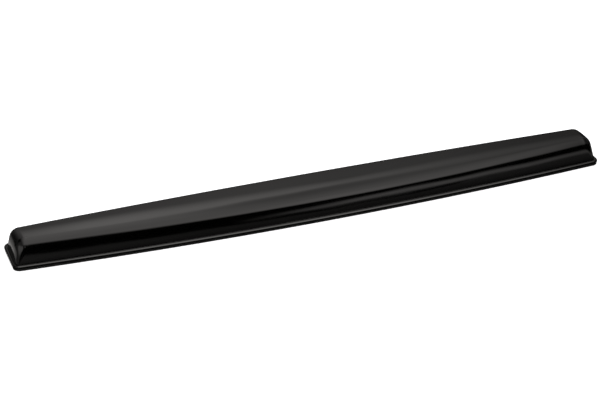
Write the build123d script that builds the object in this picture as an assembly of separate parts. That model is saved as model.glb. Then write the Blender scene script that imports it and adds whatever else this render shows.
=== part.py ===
from build123d import *

import os
from math import sqrt

# Gel wrist rest for a full-size keyboard.
#
# A long, low pad bows gently towards the user. A glossy film skin, drawn over a mould, holds a soft gel
# core. A lower film is welded to the skin's flange all round and closes the pouch. The weld leaves a round
# bead along the flange's outer edge and a shallow groove beside it, at the pad's foot. The pouch is bonded
# to a thin stiffener plate, and the plate to a dimpled rubber sheet that grips the desk.
#
# Units are millimetres. X runs along the rest, -Y is the user's side, +Y the keyboard's side and +Z is up.
# The origin is on the desk, at the centre of the footprint.

# --- Footprint, measured over the welded rim --------------------------------------------------------
LENGTH = 471.0
DEPTH = 50.0  # at mid-length
FRONT_BOW = 9.2  # how far the front edge stands out at mid-length from its own ends
BACK_BOW = 3.2  # the same for the back edge
RIM_CORNER = 5.5

# --- Heights of the laminated base, from the desk up ------------------------------------------------
RUBBER = 1.0
ADHESIVE = 0.15
STIFFENER = 0.7
SEAL_FILM = 0.3
FLANGE = 1.0
BEAD = 0.55  # how far the bead stands above the flange
BEAD_WIDTH = 1.9
BEAD_ROUND = 1.2  # rounding of the bead's outer upper edge
BEAD_INNER_ROUND = 0.4  # rounding of its inner upper edge, beside the groove

# --- The pad ----------------------------------------------------------------------------------------
HEIGHT = 22.3  # at mid-length
SKIN = 0.8
LEDGE = 2.6  # from the rim to the pad's foot
SIDE_LEAN = 3.2  # how far the front and back walls lean in over the pad's full height
END_LEAN = 1.2  # the same for the two end walls
FOOT_CORNER = 2.6
TOP_CORNER = 13.5
SHOULDER = 8.0  # rounding between the walls and the crown
CROWN = 75.0  # radius of the top across the pad
CROWN_RISE = 1.2  # how much higher the top is at mid-length than over the end walls

# --- The base layers stop short of the rim, so that the rim hides their cut edges --------------------
BASE_INSET = 0.2
RUBBER_INSET = 0.4

# --- Dimples in the rubber's underside --------------------------------------------------------------
DIMPLE_RADIUS = 1.5
DIMPLE_DEPTH = 0.4
DIMPLE_PITCH = 7.0
DIMPLE_ROW = DIMPLE_PITCH * sqrt(3) / 2
DIMPLE_MARGIN = 4.5  # from a dimple's centre to the sheet's edge

# --- Worked out from the above ----------------------------------------------------------------------
HALF_LENGTH = LENGTH / 2
FRONT_RADIUS = (HALF_LENGTH**2 + FRONT_BOW**2) / (2 * FRONT_BOW)
BACK_RADIUS = (HALF_LENGTH**2 + BACK_BOW**2) / (2 * BACK_BOW)
FRONT_CENTRE = FRONT_RADIUS - DEPTH / 2
BACK_CENTRE = DEPTH / 2 - BACK_RADIUS

STIFFENER_BOTTOM = RUBBER + ADHESIVE
STIFFENER_TOP = STIFFENER_BOTTOM + STIFFENER
SEAL_BOTTOM = STIFFENER_TOP + ADHESIVE
SEAL_TOP = SEAL_BOTTOM + SEAL_FILM
FLANGE_TOP = SEAL_TOP + FLANGE


def front_edge(x, inset=0.0):
    """Y of the front edge at x, with the outline moved in by inset."""
    return FRONT_CENTRE - sqrt((FRONT_RADIUS - inset) ** 2 - x**2)


def back_edge(x, inset=0.0):
    """Y of the back edge at x, with the outline moved in by inset."""
    return BACK_CENTRE + sqrt((BACK_RADIUS - inset) ** 2 - x**2)


def outline(side_inset, end_inset, corner):
    """The bowed footprint as a face on the XY plane, moved in from the rim, with rounded corners."""
    x = HALF_LENGTH - end_inset
    front, back = front_edge(x, side_inset), back_edge(x, side_inset)
    edges = [
        ThreePointArc((-x, front), (0, front_edge(0, side_inset)), (x, front)),
        Line((x, front), (x, back)),
        ThreePointArc((x, back), (0, back_edge(0, side_inset)), (-x, back)),
        Line((-x, back), (-x, front)),
    ]
    face = make_face(edges)
    return fillet(face.vertices(), corner)


def layer(bottom, thickness, inset):
    """A flat sheet cut to the footprint."""
    return Pos(0, 0, bottom) * extrude(outline(inset, inset, RIM_CORNER - inset), thickness)


def crown_bar(radius):
    """A long round bar, bent slightly upwards at mid-length, whose upper side is the top of the pad."""
    middle = HEIGHT - CROWN
    end = middle - CROWN_RISE
    path = ThreePointArc((-HALF_LENGTH, 0, end), (0, 0, middle), (HALF_LENGTH, 0, end))
    start = Plane(origin=path @ 0, z_dir=path % 0)
    return sweep(start * Circle(radius), path)


def pad_body(inset, bottom):
    """The pad's rounded block above bottom. inset is 0 for the skin's outside and SKIN for its inside."""
    foot = outline(LEDGE + inset, LEDGE + inset, FOOT_CORNER - inset)
    top = outline(LEDGE + SIDE_LEAN + inset, LEDGE + END_LEAN + inset, TOP_CORNER - inset)
    block = loft([Pos(0, 0, bottom) * foot, Pos(0, 0, HEIGHT) * top], ruled=True)
    block &= crown_bar(CROWN - inset)
    rim = block.faces().sort_by(Axis.Z)[-1].edges()
    return fillet(rim, SHOULDER - inset)


def make_flange():
    """The skin's flange, with the round weld bead along its outer edge and the groove beside it."""
    slab = layer(SEAL_TOP, FLANGE + BEAD, 0.0)
    slab = fillet(slab.faces().sort_by(Axis.Z)[-1].edges(), BEAD_ROUND)
    slab -= layer(FLANGE_TOP, BEAD, BEAD_WIDTH)
    crest = slab.faces().sort_by(Axis.Z)[-1]
    return fillet(crest.inner_wires()[0].edges(), BEAD_INNER_ROUND)


def make_top_skin():
    """Thermoformed film: a domed pad, hollow for the gel, with its flange."""
    return make_flange() + pad_body(0.0, FLANGE_TOP) - pad_body(SKIN, SEAL_TOP)


def dimple_centres():
    """Staggered rows of points that keep clear of the rubber sheet's edge."""
    rows = int(DEPTH / DIMPLE_ROW / 2)
    columns = int(LENGTH / DIMPLE_PITCH / 2)
    keep = RUBBER_INSET + DIMPLE_MARGIN
    centres = []
    for row in range(-rows, rows + 1):
        shift = DIMPLE_PITCH / 2 if row % 2 else 0.0
        for column in range(-columns, columns + 1):
            x, y = column * DIMPLE_PITCH + shift, row * DIMPLE_ROW
            inside = abs(x) < HALF_LENGTH - keep
            if inside and front_edge(x) + keep < y < back_edge(x) - keep:
                centres.append((x, y))
    return centres


def make_rubber_sheet():
    """Grip sheet with rows of shallow dimples in its underside."""
    dimple = Cylinder(DIMPLE_RADIUS, DIMPLE_DEPTH, align=(Align.CENTER, Align.CENTER, Align.MIN))
    dimples = [Pos(x, y) * dimple for x, y in dimple_centres()]
    return layer(0.0, RUBBER, RUBBER_INSET) - dimples


def main():
    parts = {
        "non_slip_sheet": make_rubber_sheet(),
        "rubber_adhesive": layer(RUBBER, ADHESIVE, RUBBER_INSET),
        "stiffener_plate": layer(STIFFENER_BOTTOM, STIFFENER, BASE_INSET),
        "pouch_adhesive": layer(STIFFENER_TOP, ADHESIVE, BASE_INSET),
        "seal_film": layer(SEAL_BOTTOM, SEAL_FILM, 0.0),
        "top_skin": make_top_skin(),
        "gel_core": pad_body(SKIN, SEAL_TOP),
    }
    os.makedirs("parts", exist_ok=True)
    for name, shape in parts.items():
        export_step(shape, f"parts/{name}.step")
        print(name, round(shape.volume), "mm3", shape.is_valid)


main()
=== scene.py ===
from math import asin, cos, pi, radians, sin

import bpy
import numpy as np
from mathutils import Matrix, Vector


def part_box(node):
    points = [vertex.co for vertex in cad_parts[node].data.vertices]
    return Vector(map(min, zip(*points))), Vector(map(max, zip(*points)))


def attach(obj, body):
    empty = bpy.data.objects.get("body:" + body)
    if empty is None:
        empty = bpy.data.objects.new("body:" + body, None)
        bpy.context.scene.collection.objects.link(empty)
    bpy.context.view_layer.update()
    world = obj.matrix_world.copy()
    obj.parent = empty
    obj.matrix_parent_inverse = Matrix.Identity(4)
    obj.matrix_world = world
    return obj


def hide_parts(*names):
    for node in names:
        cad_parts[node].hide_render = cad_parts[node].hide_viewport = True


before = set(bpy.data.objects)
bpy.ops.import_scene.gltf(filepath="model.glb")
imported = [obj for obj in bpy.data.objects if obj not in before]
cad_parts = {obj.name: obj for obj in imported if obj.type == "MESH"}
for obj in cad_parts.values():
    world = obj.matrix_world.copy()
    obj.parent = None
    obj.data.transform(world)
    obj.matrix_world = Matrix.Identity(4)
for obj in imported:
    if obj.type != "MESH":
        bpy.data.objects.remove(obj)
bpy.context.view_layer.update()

# Looks for the gel wrist rest: the glossy drawn film with its gel, the laminated base and the studio.
# Everything is in metres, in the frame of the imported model.

MM = 0.001

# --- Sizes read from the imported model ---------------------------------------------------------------
SKIN_LOW, SKIN_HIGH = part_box("top_skin")
HALF_LENGTH = SKIN_HIGH.x
HALF_DEPTH = -SKIN_LOW.y
HEIGHT = SKIN_HIGH.z
FLANGE_BOTTOM = SKIN_LOW.z

# --- The rest's form, as the CAD model has it -------------------------------------------------------
FRONT_BOW = 9.2 * MM
BACK_BOW = 3.2 * MM
RIM_CORNER = 5.5 * MM
FLANGE = 1.0 * MM
BEAD = 0.55 * MM
BEAD_WIDTH = 1.9 * MM
BEAD_ROUND = 1.2 * MM
BEAD_INNER_ROUND = 0.4 * MM
FOOT_ROUND = 0.12 * MM
SKIN = 0.8 * MM
LEDGE = 2.6 * MM
SIDE_LEAN = 3.2 * MM
END_LEAN = 1.2 * MM
FOOT_CORNER = 2.6 * MM
TOP_CORNER = 13.5 * MM
SHOULDER = 8.0 * MM
CROWN = 75.0 * MM
CROWN_RISE = 1.2 * MM
GEL_GAP = 0.02 * MM
CORNER_EASE = 0.25  # how much steeper than on average the corners start at the foot

FRONT_RADIUS = (HALF_LENGTH**2 + FRONT_BOW**2) / (2 * FRONT_BOW)
BACK_RADIUS = (HALF_LENGTH**2 + BACK_BOW**2) / (2 * BACK_BOW)
FRONT_CENTRE = FRONT_RADIUS - HALF_DEPTH
BACK_CENTRE = HALF_DEPTH - BACK_RADIUS
FLANGE_TOP = FLANGE_BOTTOM + FLANGE
BEAD_TOP = FLANGE_TOP + BEAD

# --- Faint waves in the film: each one's length, how far it turns from the rest's length, and its start
RIPPLE_HEIGHT = 0.035 * MM
RIPPLES = (
    (97 * MM, 0.2, 0.4),
    (61 * MM, -0.5, 2.1),
    (38 * MM, 0.9, 5.0),
    (27 * MM, -1.2, 3.3),
)
RIPPLE_START = FLANGE_TOP + 1 * MM
RIPPLE_FULL = FLANGE_TOP + 5 * MM

# --- The rim's own material slots: a more reflective copy of the film for a painted highlight along the bead, a duller one for painted shade on the rim of the two ends, and how far in that end rim reaches ---
RIM_HIGHLIGHT_SLOT = 1
SHADED_END_SLOT = 2
SHADED_END_REACH = 3.2 * MM

# --- Mesh density -----------------------------------------------------------------------------------
SIDE_STEPS = 160
CORNER_STEPS = 16
END_STEPS = 14
WALL_ROWS = (0, 0.2, 0.4, 0.6, 0.8)  # shares of the flat part of the wall
SHOULDER_ROWS = 20
HOLLOW_SHOULDER_ROWS = 8
BEAD_STEPS = 8
BEAD_INNER_STEPS = 5
FOOT_STEPS = 4
HALVINGS = 40  # of the search for the place where shoulder and wall meet
SHARP_ANGLE = radians(35)


# ======================================== outlines ==================================================
def outline(side_inset, end_inset, corner):
    """Points round the bowed footprint, anticlockwise from the front left, and each one's way out."""
    centre_x = HALF_LENGTH - end_inset - corner
    front_r = FRONT_RADIUS - side_inset
    back_r = BACK_RADIUS - side_inset
    front_turn = asin(centre_x / (front_r - corner))
    back_turn = asin(centre_x / (back_r - corner))
    front_y = FRONT_CENTRE - (front_r - corner) * cos(front_turn)
    back_y = BACK_CENTRE + (back_r - corner) * cos(back_turn)
    front_right, back_right = (centre_x, front_y), (centre_x, back_y)
    front_left, back_left = (-centre_x, front_y), (-centre_x, back_y)
    front_middle, back_middle = (0, FRONT_CENTRE), (0, BACK_CENTRE)
    # Each section has the arc's centre where it starts and where it ends, its radius, two angles and steps.
    sections = [
        (front_middle, front_middle, front_r, -pi / 2 - front_turn, -pi / 2 + front_turn, SIDE_STEPS),
        (front_right, front_right, corner, -pi / 2 + front_turn, 0, CORNER_STEPS),
        (front_right, back_right, corner, 0, 0, END_STEPS),
        (back_right, back_right, corner, 0, pi / 2 - back_turn, CORNER_STEPS),
        (back_middle, back_middle, back_r, pi / 2 - back_turn, pi / 2 + back_turn, SIDE_STEPS),
        (back_left, back_left, corner, pi / 2 + back_turn, pi, CORNER_STEPS),
        (back_left, front_left, corner, pi, pi, END_STEPS),
        (front_left, front_left, corner, pi, 3 * pi / 2 - front_turn, CORNER_STEPS),
    ]
    points, outward = [], []
    for start, end, radius, first, last, steps in sections:
        share = np.arange(steps)[:, None] / steps
        angle = first + (last - first) * share
        direction = np.hstack([np.cos(angle), np.sin(angle)])
        centre = np.array(start) + (np.array(end) - np.array(start)) * share
        points.append(centre + radius * direction)
        outward.append(direction)
    return np.vstack(points), np.vstack(outward)


def flat_row(inset, z, corner=None):
    """A row of points at one height, round the footprint moved in from the rim."""
    plan, _ = outline(inset, inset, RIM_CORNER - inset if corner is None else corner)
    return np.column_stack([plan, np.full(len(plan), z)])


# ======================================== the pad's surface =========================================
def crown_axis(x):
    """Height of the bent axis that the crown is round about."""
    return HEIGHT - CROWN - CROWN_RISE * (x / HALF_LENGTH) ** 2


def unit(vectors):
    """Rows of vectors, each at length 1."""
    return vectors / np.linalg.norm(vectors, axis=1)[:, None]


def crown_normal(points):
    """The direction out of the crown through each point."""
    x, y, z = points.T
    rise = z - crown_axis(x)
    slope = -2 * CROWN_RISE * x / HALF_LENGTH**2
    return unit(np.column_stack([-rise * slope, y, rise]))


def pad_rows(inset, bottom, shoulder_rows):
    """Rows of points up the pad's wall and round its shoulder, and the crown's radius.

    inset is 0 for the outside. The wall is straight but for its corners, which ease in from a steeper foot.
    """
    foot, foot_out = outline(LEDGE + inset, LEDGE + inset, FOOT_CORNER - inset)
    top, top_out = outline(LEDGE + SIDE_LEAN + inset, LEDGE + END_LEAN + inset, TOP_CORNER - inset)
    out = unit(foot_out + top_out)
    height = HEIGHT - bottom
    lean = -np.sum((top - foot) * out, axis=1) / height
    ease = CORNER_EASE * 2 * np.abs(out[:, 0] * out[:, 1])
    shoulder, crown = SHOULDER - inset, CROWN - inset

    def wall(share):
        """Points of the wall at this share of its height, and the outward direction at each."""
        eased = share + ease * share * (share - 1)
        plan = foot + (top - foot) * eased[:, None]
        slope = lean * (1 - ease + 2 * ease * share)
        return np.column_stack([plan, bottom + height * share]), unit(np.column_stack([out, slope]))

    # The ball that rolls between wall and crown touches the wall at this share of its height.
    low, high = np.zeros(len(foot)), np.ones(len(foot))
    for _ in range(HALVINGS):
        middle = (low + high) / 2
        point, normal = wall(middle)
        centre = point - shoulder * normal
        reach = np.hypot(centre[:, 1], centre[:, 2] - crown_axis(centre[:, 0]))
        inside = reach < crown - shoulder
        low, high = np.where(inside, middle, low), np.where(inside, high, middle)
    contact = low
    point, normal = wall(contact)
    centre = point - shoulder * normal
    upper = crown_normal(centre)
    bend = np.arccos(np.clip(np.sum(normal * upper, axis=1), -1, 1))[:, None]

    rows = [wall(contact * share)[0] for share in WALL_ROWS]
    for share in np.linspace(0, 1, shoulder_rows):
        turned = (np.sin((1 - share) * bend) * normal + np.sin(share * bend) * upper) / np.sin(bend)
        rows.append(centre + shoulder * turned)
    return rows, crown


def cap(row, crown):
    """A grid of points that fills a closed row, over the crown, or flat where crown is None.

    Its corners are the middles of the row's four rounded corners, so its outer points are the row's own.
    """
    count, half = len(row), CORNER_STEPS // 2
    index = grid_edges(count, half)
    front, right, back, left = (row[edge][:, :2] for edge in index)
    back, left = back[::-1], left[::-1]
    u = np.linspace(0, 1, len(front))[None, :, None]
    v = np.linspace(0, 1, len(right))[:, None, None]
    across = (1 - v) * front[None] + v * back[None]
    along = (1 - u) * left[:, None] + u * right[:, None]
    near_corners = (1 - v) * ((1 - u) * front[0] + u * front[-1])
    far_corners = v * ((1 - u) * back[0] + u * back[-1])
    plan = across + along - near_corners - far_corners
    if crown is None:
        z = np.full(plan.shape[:2], row[0, 2])
    else:
        z = crown_axis(plan[..., 0]) + np.sqrt(crown**2 - plan[..., 1] ** 2)
    return np.dstack([plan, z])


def grid_edges(count, half):
    """Which points of a closed row are the front, right, back and left edges of the grid that fills it."""
    end_span = 2 * half + END_STEPS
    front = np.arange(-half, SIDE_STEPS + half + 1) % count
    right = np.arange(SIDE_STEPS + half, SIDE_STEPS + half + end_span + 1) % count
    back = (front + count // 2) % count
    left = (right + count // 2) % count
    return front, right, back, left


# ======================================== meshes ======================================================
class Shell:
    """Collects rows of points and the faces between them."""

    def __init__(self):
        self.points = []
        self.faces = []
        self.count = 0

    def add_row(self, row):
        self.points.append(row)
        self.count += len(row)
        return np.arange(self.count - len(row), self.count)

    def join(self, lower, upper, flip=False):
        """Faces between two closed rows, which face outwards when upper lies above or inside lower."""
        a, b, c, d = lower, np.roll(lower, -1), np.roll(upper, -1), upper
        quads = np.column_stack([d, c, b, a] if flip else [a, b, c, d])
        self.faces.extend(quads.tolist())

    def stack(self, rows, flip=False):
        """Adds closed rows one above the other, with the faces between them, and returns their indices."""
        indices = [self.add_row(row) for row in rows]
        for lower, upper in zip(indices, indices[1:]):
            self.join(lower, upper, flip)
        return indices

    def close(self, ring, row, crown, flip=False):
        """Fills a closed row with a grid, whose outer points are the row's."""
        grid = cap(row, crown)
        index = np.zeros(grid.shape[:2], int)
        front, right, back, left = grid_edges(len(row), CORNER_STEPS // 2)
        index[1:-1, 1:-1] = self.add_row(grid[1:-1, 1:-1].reshape(-1, 3)).reshape(grid.shape[0] - 2, -1)
        index[0], index[:, -1] = ring[front], ring[right]
        index[-1], index[:, 0] = ring[back][::-1], ring[left][::-1]
        a, b, c, d = index[:-1, :-1], index[:-1, 1:], index[1:, 1:], index[1:, :-1]
        quads = np.stack([d, c, b, a] if flip else [a, b, c, d], axis=-1)
        self.faces.extend(quads.reshape(-1, 4).tolist())

    def build(self, name):
        """Makes the object, smooth but for its sharp edges."""
        mesh = bpy.data.meshes.new(name)
        mesh.from_pydata(np.vstack(self.points).tolist(), [], self.faces)
        mesh.shade_smooth()
        mesh.set_sharp_from_angle(angle=SHARP_ANGLE)
        mesh.validate()
        piece = bpy.data.objects.new(name, mesh)
        bpy.context.scene.collection.objects.link(piece)
        return piece


def quarter(steps):
    """Angles of a quarter turn, from 0 to 90 degrees."""
    return np.linspace(0, pi / 2, steps + 1)


def rim_rows():
    """The flange's edge: up its outer face, over the round bead and across the groove to the pad's foot."""
    rows = [flat_row(0, FLANGE_BOTTOM)]
    for a in quarter(BEAD_STEPS):
        rows.append(flat_row(BEAD_ROUND * (1 - cos(a)), BEAD_TOP - BEAD_ROUND * (1 - sin(a))))
    for a in quarter(BEAD_INNER_STEPS):
        inset = BEAD_WIDTH - BEAD_INNER_ROUND * (1 - sin(a))
        rows.append(flat_row(inset, BEAD_TOP - BEAD_INNER_ROUND * (1 - cos(a))))
    for a in quarter(FOOT_STEPS)[:-1]:
        out = FOOT_ROUND * (1 - sin(a))
        z = FLANGE_TOP + FOOT_ROUND * (1 - cos(a))
        rows.append(flat_row(LEDGE - out, z, FOOT_CORNER + out))
    return rows


def make_pad_skin():
    """The drawn film as one closed shell: flange and bead, dome, and the hollow that holds the gel."""
    shell = Shell()
    outer, crown = pad_rows(0.0, FLANGE_TOP, SHOULDER_ROWS)
    rims = rim_rows()
    rings = shell.stack(rims + outer)
    rim_faces = (len(rims) - 1) * len(outer[0])
    shell.close(rings[-1], outer[-1], crown)
    outside = shell.count
    inner, inner_crown = pad_rows(SKIN, FLANGE_BOTTOM, HOLLOW_SHOULDER_ROWS)
    inner_rings = shell.stack(inner, flip=True)
    shell.close(inner_rings[-1], inner[-1], inner_crown, flip=True)
    shell.join(rings[0], inner_rings[0], flip=True)
    piece = shell.build("gel_pad_skin")
    ripple(piece.data, outside)
    # Near the two ends the rim takes the duller film, painted shade; elsewhere the more reflective film, a
    # painted highlight.
    for polygon in piece.data.polygons[:rim_faces]:
        at_end = abs(polygon.center.x) > HALF_LENGTH - SHADED_END_REACH
        polygon.material_index = SHADED_END_SLOT if at_end else RIM_HIGHLIGHT_SLOT
    return piece


def ripple(mesh, outside):
    """Moves the pad's outside points along their normals, for the faint waves of a film drawn over gel."""
    count = len(mesh.vertices)
    points, normals = np.empty(count * 3), np.empty(count * 3)
    mesh.vertices.foreach_get("co", points)
    mesh.vertex_normals.foreach_get("vector", normals)
    points, normals = points.reshape(-1, 3), normals.reshape(-1, 3)
    x, y, z = points.T
    wave = np.zeros(count)
    for length, turn, start in RIPPLES:
        along = x * cos(turn) + (y + z) * sin(turn)
        wave += np.sin(2 * pi * along / length + start)
    wave *= RIPPLE_HEIGHT / len(RIPPLES) * smooth(RIPPLE_START, RIPPLE_FULL, z)
    wave[outside:] = 0
    mesh.vertices.foreach_set("co", (points + normals * wave[:, None]).ravel())
    mesh.update()


def make_gel():
    """The soft gel that fills the skin."""
    shell = Shell()
    rows, crown = pad_rows(SKIN + GEL_GAP, FLANGE_BOTTOM, HOLLOW_SHOULDER_ROWS)
    rings = shell.stack(rows)
    shell.close(rings[-1], rows[-1], crown)
    shell.close(rings[0], rows[0], None, flip=True)
    return shell.build("gel_filling")


# ======================================== materials ===================================================
FILM_BLACK = (0.0003, 0.0003, 0.00025)
FILM_HAZE = (0.0009, 0.0008, 0.0007)


def new_material(name, roughness, **sockets):
    """A Principled material. The other arguments are its sockets, with _ for a space."""
    material = bpy.data.materials.new(name)
    material.use_nodes = True
    shader = material.node_tree.nodes["Principled BSDF"]
    shader.inputs["Roughness"].default_value = roughness
    for socket, value in sockets.items():
        shader.inputs[socket.replace("_", " ")].default_value = value
    return material, material.node_tree, shader


def add_node(tree, kind, **inputs):
    """A new shader node. Each input, named with _ for a space, is a value or another node's output."""
    node = tree.nodes.new("ShaderNode" + kind)
    for socket, value in inputs.items():
        socket = node.inputs[socket.replace("_", " ")]
        if isinstance(value, bpy.types.NodeSocket):
            tree.links.new(value, socket)
        else:
            socket.default_value = value
    return node


def noise(tree, size, stretch=(1, 1, 1), detail=2.0):
    """Noise with features of about this size in metres, drawn out along each axis by stretch."""
    place = add_node(tree, "TexCoord").outputs["Object"]
    scaled = add_node(tree, "Mapping", Vector=place, Scale=[1 / (size * factor) for factor in stretch])
    texture = add_node(tree, "TexNoise", Vector=scaled.outputs["Vector"], Scale=1.0, Detail=detail)
    return texture.outputs["Fac"]


def bubbles(tree, size):
    """Round spots about this size apart, 0 in the middle of each."""
    place = add_node(tree, "TexCoord").outputs["Object"]
    return add_node(tree, "TexVoronoi", Vector=place, Scale=1 / size).outputs["Distance"]


def spread(tree, value, low, high, start=0.35, end=0.65):
    """Stretches a value between start and end over low to high."""
    limits = {"From_Min": start, "From_Max": end, "To_Min": low, "To_Max": high}
    return add_node(tree, "MapRange", Value=value, **limits).outputs["Result"]


def total(tree, first, second):
    """The sum of two values."""
    node = add_node(tree, "Math", Value=first)
    tree.links.new(second, node.inputs[1])
    return node.outputs["Value"]


def shade(tree, value, dark, light, start=0.35, end=0.65):
    """A colour between dark, at start, and light, at end."""
    ramp = add_node(tree, "ValToRGB", Fac=value)
    first, last = ramp.color_ramp.elements
    first.position, last.position = start, end
    first.color, last.color = (*dark, 1), (*light, 1)
    return ramp.outputs["Color"]


def finish_surface(tree, shader, color, roughness, bumps):
    """Links a colour, a roughness and layers of bump, each a height from 0 to 1 and its depth in metres."""
    tree.links.new(color, shader.inputs["Base Color"])
    tree.links.new(roughness, shader.inputs["Roughness"])
    normal = None
    for height, depth in bumps:
        bump = add_node(tree, "Bump", Height=height, Distance=depth)
        if normal is not None:
            tree.links.new(normal, bump.inputs["Normal"])
        normal = bump.outputs["Normal"]
    tree.links.new(normal, shader.inputs["Normal"])


def film_material(name, ior, gloss, dull):
    """Glossy black film: faint draw lines along the rest, a very fine orange peel and a hint of handling."""
    material, tree, shader = new_material(name, gloss, IOR=ior)
    smudges = noise(tree, 18 * MM, (2.5, 1, 1), 3.0)
    draw_lines = noise(tree, 0.9 * MM, (60, 1, 1), 2.0)
    peel = noise(tree, 1.1 * MM, detail=1.0)
    dust = noise(tree, 0.35 * MM, detail=0.0)
    handled = total(tree, smudges, spread(tree, draw_lines, 0.0, 0.35))
    color = shade(tree, dust, FILM_BLACK, FILM_HAZE, 0.62, 0.8)
    roughness = spread(tree, handled, gloss, dull, 0.4, 0.95)
    finish_surface(tree, shader, color, roughness, [(peel, 0.0012 * MM), (draw_lines, 0.0006 * MM)])
    return material


def seal_film_material():
    """Satin film with the faint cross-grain of the sealing press."""
    material, tree, shader = new_material("satin_seal_film", 0.35, IOR=1.5)
    grain = noise(tree, 0.25 * MM, (1, 3, 1), 2.0)
    color = shade(tree, noise(tree, 9 * MM), (0.0012, 0.0012, 0.0012), (0.003, 0.003, 0.003))
    finish_surface(tree, shader, color, spread(tree, grain, 0.28, 0.45), [(grain, 0.004 * MM)])
    return material


def gel_material():
    """Soft clear gel dyed black, with small bubbles."""
    material, tree, shader = new_material("black_gel", 0.2, IOR=1.43, Subsurface_Weight=0.2)
    shader.inputs["Subsurface Radius"].default_value = (2 * MM, 2 * MM, 2 * MM)
    spots = bubbles(tree, 3 * MM)
    color = shade(tree, spots, (0.05, 0.05, 0.055), (0.008, 0.008, 0.009), 0.05, 0.2)
    flow = noise(tree, 12 * MM, (3, 1, 1))
    roughness = spread(tree, flow, 0.15, 0.3)
    finish_surface(tree, shader, color, roughness, [(spots, 0.02 * MM), (flow, 0.1 * MM)])
    return material


def adhesive_material():
    """Thin bonding sheet, dull and slightly stringy at its cut edge."""
    material, tree, shader = new_material("bonding_sheet", 0.6)
    strings = noise(tree, 0.4 * MM, (4, 4, 1), 3.0)
    color = shade(tree, strings, (0.003, 0.003, 0.003), (0.008, 0.008, 0.007))
    finish_surface(tree, shader, color, spread(tree, strings, 0.5, 0.75), [(strings, 0.02 * MM)])
    return material


def stiffener_material():
    """Matte extruded sheet with fine lines along its length."""
    material, tree, shader = new_material("extruded_sheet", 0.5)
    lines = noise(tree, 0.3 * MM, (80, 1, 2), 2.0)
    color = shade(tree, noise(tree, 14 * MM, (4, 1, 1)), (0.0015, 0.0015, 0.0015), (0.004, 0.004, 0.004))
    finish_surface(tree, shader, color, spread(tree, lines, 0.42, 0.6), [(lines, 0.008 * MM)])
    return material


def rubber_material():
    """Matte moulded rubber: fine grain, patches of bloom, a flat grip face made paler as painted light with
    the dimples left darker as painted shade, and smoother dimple floors.
    """
    material, tree, shader = new_material("dimpled_rubber", 0.8, IOR=1.45)
    place = add_node(tree, "TexCoord").outputs["Object"]
    height = add_node(tree, "SeparateXYZ", Vector=place).outputs["Z"]
    grain = noise(tree, 0.22 * MM, detail=3.0)
    patches = noise(tree, 22 * MM, (2, 1, 1), 4.0)
    # Painted light: the flat grip face, at the lowest heights, is paler; the dimple walls and floors stay
    # darker, as painted shade.
    painted_light_face = spread(tree, height, 0.55, 0.0, 0.02 * MM, 0.06 * MM)
    floors = spread(tree, height, 0.0, -0.25, 0.3 * MM, 0.38 * MM)
    bloom = total(tree, spread(tree, patches, 0.0, 0.25), spread(tree, grain, 0.0, 0.15))
    bloom_and_painted_light = total(tree, bloom, painted_light_face)
    color = shade(tree, bloom_and_painted_light, (0.003, 0.003, 0.003), (0.04, 0.04, 0.038), 0.05, 1.0)
    roughness = total(tree, spread(tree, grain, 0.72, 0.92), floors)
    finish_surface(tree, shader, color, roughness, [(grain, 0.03 * MM), (patches, 0.05 * MM)])
    return material


# ======================================== studio ======================================================
# The film is black and glossy, so what shows on it is what it reflects. The studio is a dome and a sheet
# on the floor that only gloss sees, each as bright as the lamps, cards and dim room of a product shot.
CAMERA_AZIMUTH = radians(-19.91)
CAMERA_ELEVATION = radians(28.85)
CAMERA_ROLL = radians(-0.36)
CAMERA_DISTANCE = 1.431
CAMERA_SHIFT = (-10.51 * MM, 4.83 * MM)
LENS = 112.65

STUDIO_TINT = np.array([1.035, 1.0, 0.98, 1.0])
DOME_RADIUS = 15
DOME_FOOT = -6  # degrees of elevation
FLOOR_DROP = 0.05 * MM  # from the rubber's underside to the floor
FLOOR_REACH = 4

# Below, rows of pairs are curves: each pair is a place and the level there. A step is where a change starts
# and where it is complete. Four numbers are a range: where it starts, is full, starts to fall and ends.
# Places on the dome are in degrees. Pitch runs from the horizon behind, 0, over the top to the horizon in
# front, 180. Side is to the right. Azimuth runs from behind, 0, round to the right.

# --- The sheet overhead, brighter to the left and to the front ---------------------------------------
SHEET_LEVEL = ((45, 0.5), (60, 0.62), (90, 0.93), (120, 1.23), (150, 1.28))  # by pitch
SHEET_LEFT_EXTRA = ((45, 0.85), (90, 0.5), (120, 0.1))  # by pitch
SHEET_LEFT_STEP = (9.5, 17.5)
SHEET_SPOT = 0.32
SHEET_SPOT_SIDE = 19
SHEET_SPOT_WIDTH = 5
SHEET_SPOT_STEP = (125, 150)
SHEET_BACK_STEP = (45, 50)
SHEET_FRONT = 173  # pitch of the round front edge where it is furthest forward
SHEET_FRONT_SIDE = 19.5
SHEET_FRONT_CURVE = (0.125, 0.18)  # how fast the front edge bends back, to the left and to the right
SHEET_FRONT_LEAST = 134
SHEET_FRONT_SOFT_INSIDE = 9
SHEET_FRONT_SOFT_OUTSIDE = ((8, 16), (14, 9))  # by side
SHEET_RIGHT_FALL = ((28.5, 1), (33.5, 0.45), (36.5, 0.26), (48, 0.15), (66, 0.05))  # by side
SHEET_CORNER_DIM = 0.2  # at the back on the right
SHEET_CORNER_SIDE_STEP = (22, 27)
SHEET_CORNER_PITCH_STEP = (58, 84)
SHEET_LEFT_START = ((50, -25), (80, -37), (125, -44))  # side where the left edge starts, by pitch
SHEET_LEFT_FULL = ((50, 17), (80, 5), (125, -3))

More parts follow.
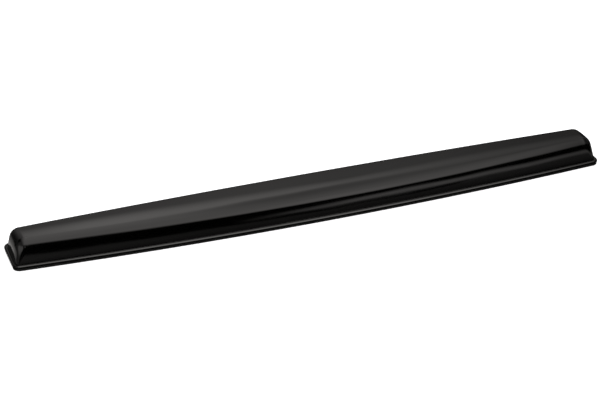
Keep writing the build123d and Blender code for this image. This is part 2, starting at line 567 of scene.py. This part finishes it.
# --- The strip of light behind, under the sheet, and the dim room under it ---------------------------
STRIP_BASE = 0.4
STRIP_SPOT = 0.95
STRIP_SPOT_SIDE = 11
STRIP_SPOT_WIDTHS = (5.7, 9.5)  # to the left and to the right
STRIP_FALL = ((-28, 0.25), (0, 1), (22, 1), (27, 0.8))  # by side
STRIP_START = ((6, 17), (11, 22), (14, 28), (19, 35), (25, 27))  # pitch where the strip starts, by side
STRIP_FULL = ((10, 43), (13, 47), (22, 44), (25, 41))
ROOM_LEVEL = ((8, 0.15), (21, 0.28), (33, 0.4))  # by pitch
ROOM_FALL = ((-28, 0.2), (-8, 1), (16, 1), (22, 0.75), (26, 0.45))  # by side
ROOM_RIGHT_DIM = 0.8
ROOM_RIGHT_STEP = (28, 42)

# --- Cards round the rest: how bright each is, its range of azimuth and its range of elevation -------
CARDS = (
    (0.95, (-155, -143, -108, -86), (3, 6.5, 14, 46)),  # a low panel to the left
    (0.26, (-146, -130, -100, -50), (-12, 6, 90, 91)),  # the room round that panel
    (0.4, (-178, -172, -164, -156), (8, 18, 32, 44)),  # a soft window in front
    (0.12, (56, 72, 108, 124), (8, 18, 32, 44)),  # a dim one to the right
)

# --- Light on the floor, in millimetres. Reach is from the rim's front edge or from an end ------------
SHADE_LEVEL = ((6, 0), (12, 0.03), (20, 0.09), (30, 0.135))  # close in front, by reach
SHADE_GAIN = ((-235, 1.5), (-100, 1.0))  # by x
SHADE_END = ((-220, 46), (-100, 40), (0, 33), (100, 32), (130, 34), (150, 45))  # reach where it ends, by x
SHADE_SOFT = 2
FRONT_LEVEL = ((-60, 0), (-20, 0.4), (20, 0.8), (60, 1.1), (100, 1.1), (140, 0.95), (220, 0.7), (280, 0.5))
FRONT_STEP = (40, 48)
FRONT_FALL_START = ((-20, 46), (100, 51))  # reach where the light in front starts to fall, by x
FRONT_FALL_END = ((-20, 56), (60, 68), (180, 73))
LEFT_LEVEL = ((-0.5, 0.5), (1.5, 0.42), (2.5, 0.23), (4, 0.2), (8, 0.24), (20, 0.26), (35, 0.2), (100, 0.15))
LEFT_SPOT = 0.4
LEFT_SPOT_REACH = (8, 18, 150, 220)
LEFT_SPOT_DEPTH = (1, 9, 20, 36)
LEFT_BACK_DIM = 0.5
LEFT_BACK_STEP = (60, 120)
LEFT_FRONT_STEP = (-10, 0)  # the light on the left stops at the front edge
LEFT_CLEAR_STEP = (10, 30)  # and runs past it this far from the end
RIGHT_SPOT = 0.3
RIGHT_SPOT_ALONG = (262, 285, 315, 360)
RIGHT_SPOT_STEP = (-100, -70)
RIGHT_FADE_STEP = (30, 50)  # where all but the right spot fades out, by reach from the right end


def make_camera():
    """The camera of the main view, which looks at the origin but for a small shift."""
    a, e = CAMERA_AZIMUTH, CAMERA_ELEVATION
    forward = Vector((-sin(a) * cos(e), cos(a) * cos(e), -sin(e)))
    level_right = Vector((cos(a), sin(a), 0))
    level_up = level_right.cross(forward)
    right = level_right * cos(CAMERA_ROLL) + level_up * sin(CAMERA_ROLL)
    up = right.cross(forward)
    data = bpy.data.cameras.new("camera")
    data.lens = LENS
    data.clip_start, data.clip_end = 0.05, 20
    camera = bpy.data.objects.new("camera", data)
    bpy.context.scene.collection.objects.link(camera)
    place = -forward * CAMERA_DISTANCE + right * CAMERA_SHIFT[0] + up * CAMERA_SHIFT[1]
    camera.matrix_world = Matrix.Translation(place) @ Matrix((right, up, -forward)).transposed().to_4x4()
    bpy.context.scene.camera = camera


def smooth(low, high, value):
    """0 below low, 1 above high and a soft step between them."""
    share = np.clip((value - low) / (high - low), 0, 1)
    return share * share * (3 - 2 * share)


def soft_range(start, full, fall, end, value):
    """1 from full to fall, 0 before start and after end, and soft steps between them."""
    return smooth(start, full, value) * (1 - smooth(fall, end, value))


def curve(pairs, value):
    """A level that runs straight between (place, level) pairs."""
    places, levels = zip(*pairs)
    return np.interp(value, places, levels)


def bell(middle, width, value):
    """A bell curve, 1 in the middle."""
    return np.exp(-(((value - middle) / width) ** 2))


def sheet_overhead(pitch, side):
    """The sheet overhead, with its round front edge."""
    level = curve(SHEET_LEVEL, pitch)
    level += (1 - smooth(*SHEET_LEFT_STEP, side)) * curve(SHEET_LEFT_EXTRA, pitch)
    level += SHEET_SPOT * bell(SHEET_SPOT_SIDE, SHEET_SPOT_WIDTH, side) * smooth(*SHEET_SPOT_STEP, pitch)
    bend = np.where(side < SHEET_FRONT_SIDE, *SHEET_FRONT_CURVE)
    front = np.maximum(SHEET_FRONT - bend * (side - SHEET_FRONT_SIDE) ** 2, SHEET_FRONT_LEAST)
    front_start = front - SHEET_FRONT_SOFT_INSIDE
    front_end = front + curve(SHEET_FRONT_SOFT_OUTSIDE, side)
    level *= smooth(*SHEET_BACK_STEP, pitch) * (1 - smooth(front_start, front_end, pitch))
    level *= curve(SHEET_RIGHT_FALL, side)
    corner = smooth(*SHEET_CORNER_SIDE_STEP, side) * (1 - smooth(*SHEET_CORNER_PITCH_STEP, pitch))
    level *= 1 - SHEET_CORNER_DIM * corner
    return level * smooth(curve(SHEET_LEFT_START, pitch), curve(SHEET_LEFT_FULL, pitch), side)


def light_behind(pitch, side):
    """The strip of light behind, and the dim room under it."""
    width = np.where(side < STRIP_SPOT_SIDE, *STRIP_SPOT_WIDTHS)
    strip = STRIP_BASE + STRIP_SPOT * bell(STRIP_SPOT_SIDE, width, side)
    strip *= curve(STRIP_FALL, side)
    room = curve(ROOM_LEVEL, pitch) * curve(ROOM_FALL, side)
    room *= 1 - ROOM_RIGHT_DIM * smooth(*ROOM_RIGHT_STEP, side)
    level = room + (strip - room) * smooth(curve(STRIP_START, side), curve(STRIP_FULL, side), pitch)
    return level * (1 - smooth(*SHEET_BACK_STEP, pitch))


def studio_light(direction):
    """Brightness of the studio as gloss sees it, for rows of unit directions."""
    x, y, z = direction.T
    pitch = np.degrees(np.arctan2(z, y))
    pitch = np.where(pitch < -90, pitch + 360, pitch)
    side = np.degrees(np.arcsin(x))
    azimuth = np.degrees(np.arctan2(x, y))
    elevation = np.degrees(np.arcsin(z))
    lights = [sheet_overhead(pitch, side) + light_behind(pitch, side)]
    for level, around, up in CARDS:
        lights.append(level * soft_range(*around, azimuth) * soft_range(*up, elevation))
    return np.maximum.reduce(lights)


def glow_sheet(name, points, faces, glow):
    """A stage sheet that only shiny surfaces see, as bright at each point as glow says."""
    mesh = bpy.data.meshes.new(name)
    mesh.from_pydata(points.tolist(), [], faces)
    colors = mesh.color_attributes.new("glow", "FLOAT_COLOR", "POINT")
    colors.data.foreach_set("color", (glow[:, None] * STUDIO_TINT).astype(np.float32).ravel())
    material = bpy.data.materials.new(name)
    material.use_nodes = True
    material.cycles.emission_sampling = "NONE"
    tree = material.node_tree
    tree.nodes.clear()
    attribute = tree.nodes.new("ShaderNodeAttribute")
    attribute.attribute_name = "glow"
    emission = tree.nodes.new("ShaderNodeEmission")
    output = tree.nodes.new("ShaderNodeOutputMaterial")
    tree.links.new(attribute.outputs["Color"], emission.inputs["Color"])
    tree.links.new(emission.outputs["Emission"], output.inputs["Surface"])
    mesh.materials.append(material)
    sheet = bpy.data.objects.new(name, mesh)
    bpy.context.scene.collection.objects.link(sheet)
    sheet.visible_camera = False
    sheet.visible_diffuse = False
    sheet.visible_shadow = False
    sheet.visible_transmission = False
    sheet.visible_volume_scatter = False


def grid_faces(rows, columns):
    """Faces between the points of a grid, row by row."""
    first = (np.arange(rows - 1)[:, None] * columns + np.arange(columns - 1)).ravel()
    return np.column_stack([first, first + 1, first + columns + 1, first + columns]).tolist()


def make_dome():
    """The studio that shiny surfaces reflect, from the horizon up."""
    azimuth = np.radians(np.arange(0, 361))
    elevation = np.radians(np.arange(DOME_FOOT, 91))
    e, a = np.meshgrid(elevation, azimuth, indexing="ij")
    direction = np.dstack([np.sin(a) * np.cos(e), np.cos(a) * np.cos(e), np.sin(e)]).reshape(-1, 3)
    faces = grid_faces(len(elevation), len(azimuth))
    glow_sheet("studio_dome", direction * DOME_RADIUS, faces, studio_light(direction))


def floor_light(x, y):
    """Brightness of the floor as gloss sees it: dim close by, with light beyond both ends and in front."""
    reach = (FRONT_CENTRE - np.sqrt(FRONT_RADIUS**2 - x**2) - y) / MM
    left_reach = (-HALF_LENGTH - x) / MM
    right_reach = (x - HALF_LENGTH) / MM
    x, y = x / MM, y / MM

    shade_end = curve(SHADE_END, x)
    shade = curve(SHADE_LEVEL, reach) * curve(SHADE_GAIN, x)
    shade *= 1 - smooth(shade_end - SHADE_SOFT, shade_end + SHADE_SOFT, reach)

    left = curve(LEFT_LEVEL, left_reach)
    left += LEFT_SPOT * soft_range(*LEFT_SPOT_REACH, left_reach) * soft_range(*LEFT_SPOT_DEPTH, y)
    left *= 1 - LEFT_BACK_DIM * smooth(*LEFT_BACK_STEP, y)
    left *= np.maximum(1 - smooth(*LEFT_FRONT_STEP, reach), smooth(*LEFT_CLEAR_STEP, left_reach))
    left *= left_reach > LEFT_LEVEL[0][0]

    front = curve(FRONT_LEVEL, x) * smooth(*FRONT_STEP, reach)
    front *= 1 - smooth(curve(FRONT_FALL_START, x), curve(FRONT_FALL_END, x), reach)

    right = RIGHT_SPOT * soft_range(*RIGHT_SPOT_ALONG, x) * smooth(*RIGHT_SPOT_STEP, y)
    return (np.maximum(shade, left) + front) * (1 - smooth(*RIGHT_FADE_STEP, right_reach)) + right


def make_floor_glow():
    """A sheet on the floor that shiny surfaces reflect, finely divided just beyond the left end."""
    fine_start = -HALF_LENGTH - 10 * MM
    across = np.concatenate([
        np.arange(-500 * MM, fine_start, 10 * MM),
        np.arange(fine_start, -HALF_LENGTH, 0.5 * MM),
        np.arange(-HALF_LENGTH, HALF_LENGTH + 140 * MM, 5 * MM),
    ])
    x, y = np.meshgrid(across, np.arange(-160, 161) * MM)
    points = np.dstack([x, y, np.full(x.shape, 0.2 * MM)]).reshape(-1, 3)
    glow_sheet("floor_glow", points, grid_faces(*x.shape), floor_light(x, y).ravel())


def make_world():
    """Even white light from all round, which gloss does not see."""
    world = bpy.data.worlds.new("studio")
    world.use_nodes = True
    world.node_tree.nodes["Background"].inputs["Color"].default_value = (1, 1, 1, 1)
    world.cycles_visibility.glossy = False
    bpy.context.scene.world = world


def make_floor():
    """A pale floor just under the rest, which can be seen through from below."""
    signs = ((-1, -1), (1, -1), (1, 1), (-1, 1))
    corners = [(x * FLOOR_REACH, y * FLOOR_REACH, -FLOOR_DROP) for x, y in signs]
    mesh = bpy.data.meshes.new("floor")
    mesh.from_pydata(corners, [], [(0, 1, 2, 3)])
    floor = bpy.data.objects.new("floor", mesh)
    bpy.context.scene.collection.objects.link(floor)
    material, tree, shader = new_material("pale_floor", 0.9, Emission_Strength=0.6)
    shader.inputs["Base Color"].default_value = (0.9, 0.9, 0.9, 1)
    shader.inputs["Emission Color"].default_value = (1, 1, 1, 1)
    underside = add_node(tree, "NewGeometry").outputs["Backfacing"]
    blend = add_node(tree, "MixShader", Fac=underside)
    tree.links.new(shader.outputs["BSDF"], blend.inputs[1])
    tree.links.new(add_node(tree, "BsdfTransparent").outputs["BSDF"], blend.inputs[2])
    tree.links.new(blend.outputs["Shader"], tree.nodes["Material Output"].inputs["Surface"])
    mesh.materials.append(material)
    floor.visible_glossy = False


pad_skin = make_pad_skin()
gel = make_gel()
pad_skin.data.materials.append(film_material("glossy_black_film", ior=1.5, gloss=0.055, dull=0.1))
# The rim's copy of the film is more reflective than the film itself, for a painted highlight along the bead.
pad_skin.data.materials.append(film_material("rim_film_painted_highlight", ior=1.75, gloss=0.06, dull=0.12))
# The ends' copy of the rim film is duller, for painted shade on the lip at the two ends.
pad_skin.data.materials.append(film_material("end_rim_film_painted_shade", ior=1.4, gloss=0.08, dull=0.14))
gel.data.materials.append(gel_material())
adhesive = adhesive_material()
sheets = {
    "seal_film": seal_film_material(),
    "pouch_adhesive": adhesive,
    "stiffener_plate": stiffener_material(),
    "rubber_adhesive": adhesive,
    "non_slip_sheet": rubber_material(),
}
for name, material in sheets.items():
    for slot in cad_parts[name].material_slots:
        slot.link = "OBJECT"
        slot.material = material

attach(pad_skin, "root")
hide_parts("top_skin")
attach(gel, "root")
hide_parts("gel_core")

make_camera()
make_dome()
make_floor_glow()
make_floor()
make_world()
bpy.context.scene.view_settings.view_transform = "Standard"
